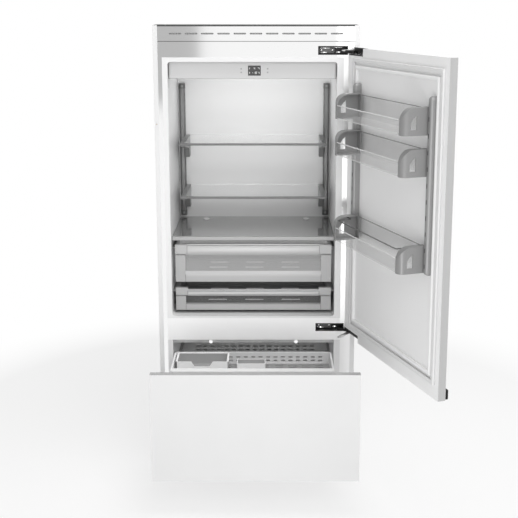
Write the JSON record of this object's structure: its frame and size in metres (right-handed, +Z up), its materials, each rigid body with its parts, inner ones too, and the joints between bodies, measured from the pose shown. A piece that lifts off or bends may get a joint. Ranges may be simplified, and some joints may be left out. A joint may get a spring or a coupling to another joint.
{
  "type": "built-in refrigerator",
  "caption": "Built-in refrigerator with an open hinged door over a pulled-out freezer drawer, with glass shelves, crispers, door bins and its cooling machinery.",
  "frame": {"origin": "on the floor, at the centre of the cabinet's footprint", "axes": "+X to the right seen from the front, +Y into the cabinet, +Z up"},
  "size_m": [1.1884, 1.4302, 2.03],
  "materials": {
    "side_white": "satin",
    "top_black": "satin",
    "steel": "brushed",
    "liner_white": "smooth",
    "foam": "foamed",
    "zinc_sheet": "galvanised",
    "plinth_grey": "satin",
    "foot_black": "matte",
    "compressor_black": "gloss",
    "mount_rubber": "matte",
    "gasket_rubber": "matte",
    "coil": "plain",
    "fan_plastic": "matte",
    "motor_metal": "satin",
    "control_grey": "satin",
    "display_dark": "gloss",
    "lamp_lens": "frosted",
    "rail_aluminium": "anodised",
    "glass": "clear",
    "trim_metal": "satin",
    "bracket_grey": "satin",
    "runner_grey": "satin",
    "clear_plastic": "clear",
    "crisper_metal": "satin",
    "cap_grey": "metallic",
    "bright_metal": "polished",
    "hinge_black": "satin",
    "front_white": "satin",
    "slide_steel": "plain",
    "basket_white": "smooth"
  },
  "bodies": {
    "cabinet": {"side_panels": "side_white", "top_panel": "top_black", "top_grille": "steel", "front_frame": "steel", "fridge_liner": "liner_white", "freezer_liner": "liner_white", "mullion": "liner_white", "insulation_foam": "foam", "machine_bay_panel": "zinc_sheet", "base_tray": "zinc_sheet", "back_panels": "zinc_sheet", "plinth": "plinth_grey", "levelling_feet": "foot_black", "compressor": "compressor_black", "compressor_mounts": "mount_rubber", "condenser": "coil", "evaporator": "coil", "condenser_fan_motor": "motor_metal", "evaporator_fan_motor": "motor_metal", "control_fascia": "control_grey", "display": "display_dark", "lamps": "lamp_lens", "shelf_rails": "rail_aluminium", "shelf_glass": "glass", "crisper_cover": "glass", "shelf_trims": "trim_metal", "shelf_brackets": "bracket_grey", "crisper_runners": "runner_grey", "hinge_boxes": "hinge_black", "slide_outer_members": "slide_steel", "evaporator_cover": "basket_white"},
    "door": {"door_outer_panel": "front_white", "door_foam": "foam", "door_liner": "liner_white", "door_gasket": "gasket_rubber", "door_rails": "rail_aluminium", "door_bins": "clear_plastic", "door_bin_caps": "cap_grey", "bottle_rail": "bright_metal", "door_stop_block": "mount_rubber", "hinge_cups": "bright_metal", "hinge_pins": "bright_metal"},
    "hinge_links": {"hinge_links": "bright_metal"},
    "drawer": {"drawer_front_panel": "front_white", "drawer_foam": "foam", "drawer_inner_panel": "liner_white", "drawer_gasket": "gasket_rubber", "drawer_frame": "slide_steel", "freezer_basket": "basket_white", "freezer_tray": "basket_white", "freezer_boxes": "basket_white"},
    "slide_middle": {"slide_middle_members": "slide_steel"},
    "crisper_upper": {"crisper_upper_bin": "clear_plastic", "crisper_upper_front": "crisper_metal", "crisper_upper_handle": "crisper_metal"},
    "crisper_lower": {"crisper_lower_bin": "clear_plastic", "crisper_lower_front": "crisper_metal", "crisper_lower_handle": "crisper_metal"},
    "condenser_fan": {"condenser_fan": "fan_plastic"},
    "evaporator_fan": {"evaporator_fan": "fan_plastic"}
  },
  "joints": [
    {"name": "door_hinge", "type": "hinge", "parent": "cabinet", "child": "door", "pos_m": [0.42, -0.323, 1.2855], "axis": [0, 0, 1], "range_deg": [-110, 5]},
    {"name": "hinge_link_turn", "type": "hinge", "parent": "cabinet", "child": "hinge_links", "pos_m": [0.42, -0.323, 1.2855], "axis": [0, 0, 1], "range_deg": [-55, 2.5]},
    {"name": "drawer_slide", "type": "slide", "parent": "cabinet", "child": "drawer", "axis": [0, -1, 0], "range_m": [-0.49, 0.02]},
    {"name": "slide_extension", "type": "slide", "parent": "cabinet", "child": "slide_middle", "axis": [0, -1, 0], "range_m": [-0.245, 0.01]},
    {"name": "crisper_upper_slide", "type": "slide", "parent": "cabinet", "child": "crisper_upper", "axis": [0, -1, 0], "range_m": [0, 0.33]},
    {"name": "crisper_lower_slide", "type": "slide", "parent": "cabinet", "child": "crisper_lower", "axis": [0, -1, 0], "range_m": [0, 0.33]},
    {"name": "condenser_fan_spin", "type": "hinge", "parent": "cabinet", "child": "condenser_fan", "pos_m": [-0.06, 0.195, 0.117], "axis": [-1, 0, 0], "continuous": true},
    {"name": "evaporator_fan_spin", "type": "hinge", "parent": "cabinet", "child": "evaporator_fan", "pos_m": [-0.0165, 0.18, 0.545], "axis": [0, -1, 0], "continuous": true}
  ],
  "couplings": [
    {"joint": "hinge_link_turn", "follows": "door_hinge", "ratio": 0.5},
    {"joint": "slide_extension", "follows": "drawer_slide", "ratio": 0.5}
  ]
}
